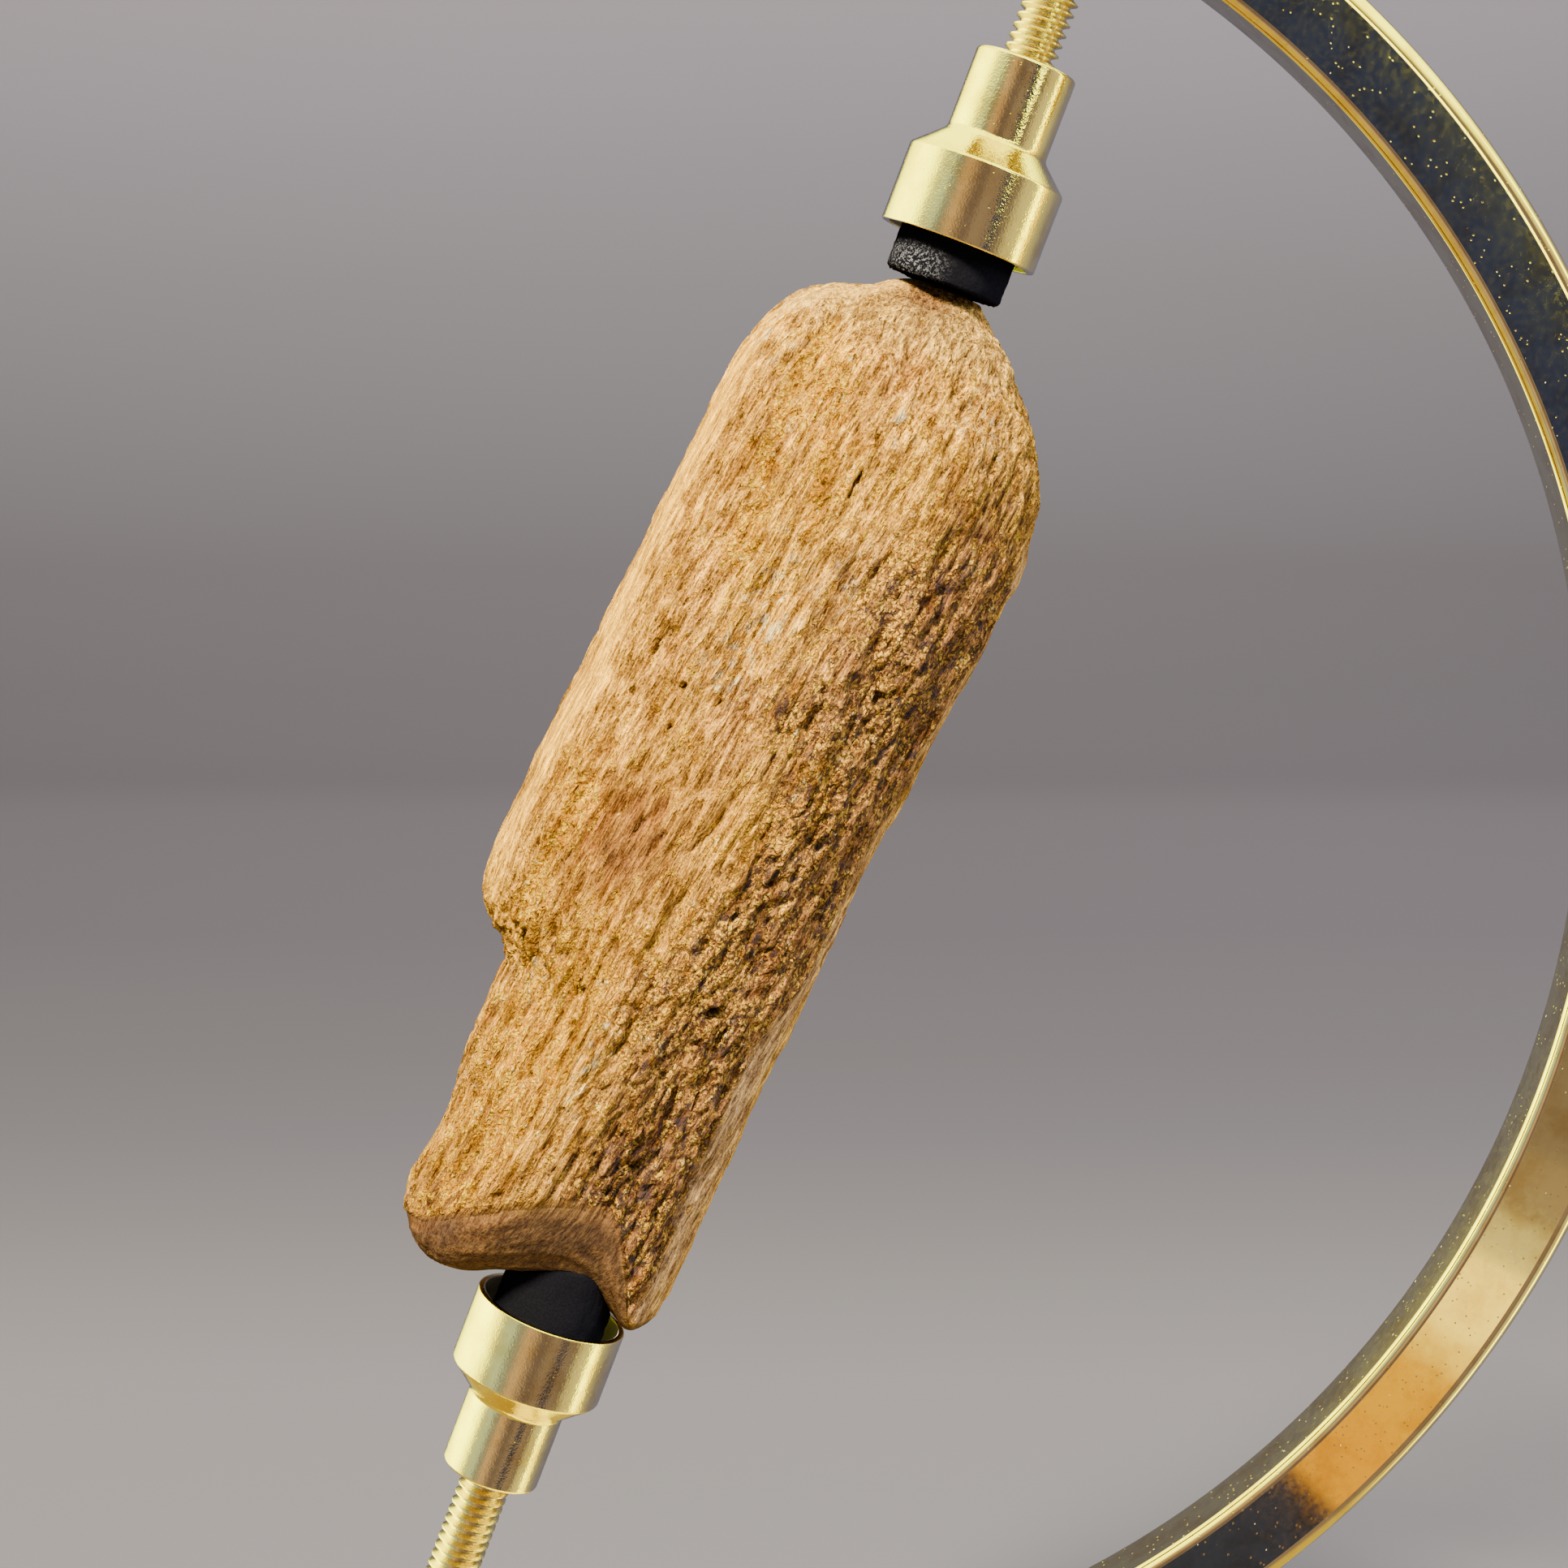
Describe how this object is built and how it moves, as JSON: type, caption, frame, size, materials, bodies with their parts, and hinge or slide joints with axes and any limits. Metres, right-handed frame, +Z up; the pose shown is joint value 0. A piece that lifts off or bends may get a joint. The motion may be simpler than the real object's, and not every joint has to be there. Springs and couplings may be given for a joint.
{
  "type": "fossil bone on stand",
  "caption": "Flattened fossil limb bone fragment gripped between two padded brass screws in a leaning half-ring arm on a round weighted foot.",
  "frame": {"origin": "centre of the foot's flat underside", "axes": "+Z up; the half-ring arm stands in the XZ plane with its arc towards +X; the bone's long axis leans towards +X at the top; the bone's described face looks along -Y"},
  "size_m": [0.1287, 0.096, 0.2172],
  "materials": {
    "polished_brass": "polished, with fine lathe marks",
    "fossil_bone": "rough and porous",
    "black_foam": "matt closed-cell foam"
  },
  "bodies": {
    "stand": {"base": "polished_brass", "stem": "polished_brass", "arm": "polished_brass"},
    "upper_clamp": {"upper_cup": "polished_brass", "upper_rod": "polished_brass", "upper_pad": "black_foam", "upper_knob": "polished_brass"},
    "lower_clamp": {"lower_cup": "polished_brass", "lower_rod": "polished_brass", "lower_pad": "black_foam", "lower_knob": "polished_brass", "bone": "fossil_bone"}
  },
  "joints": [
    {"name": "upper_screw_feed", "type": "slide", "parent": "stand", "child": "upper_clamp", "axis": [0.3551, 0, 0.9348], "range_m": [0, 0.01]},
    {"name": "lower_screw_feed", "type": "slide", "parent": "stand", "child": "lower_clamp", "axis": [-0.3551, 0, -0.9348], "range_m": [0, 0.016]}
  ]
}
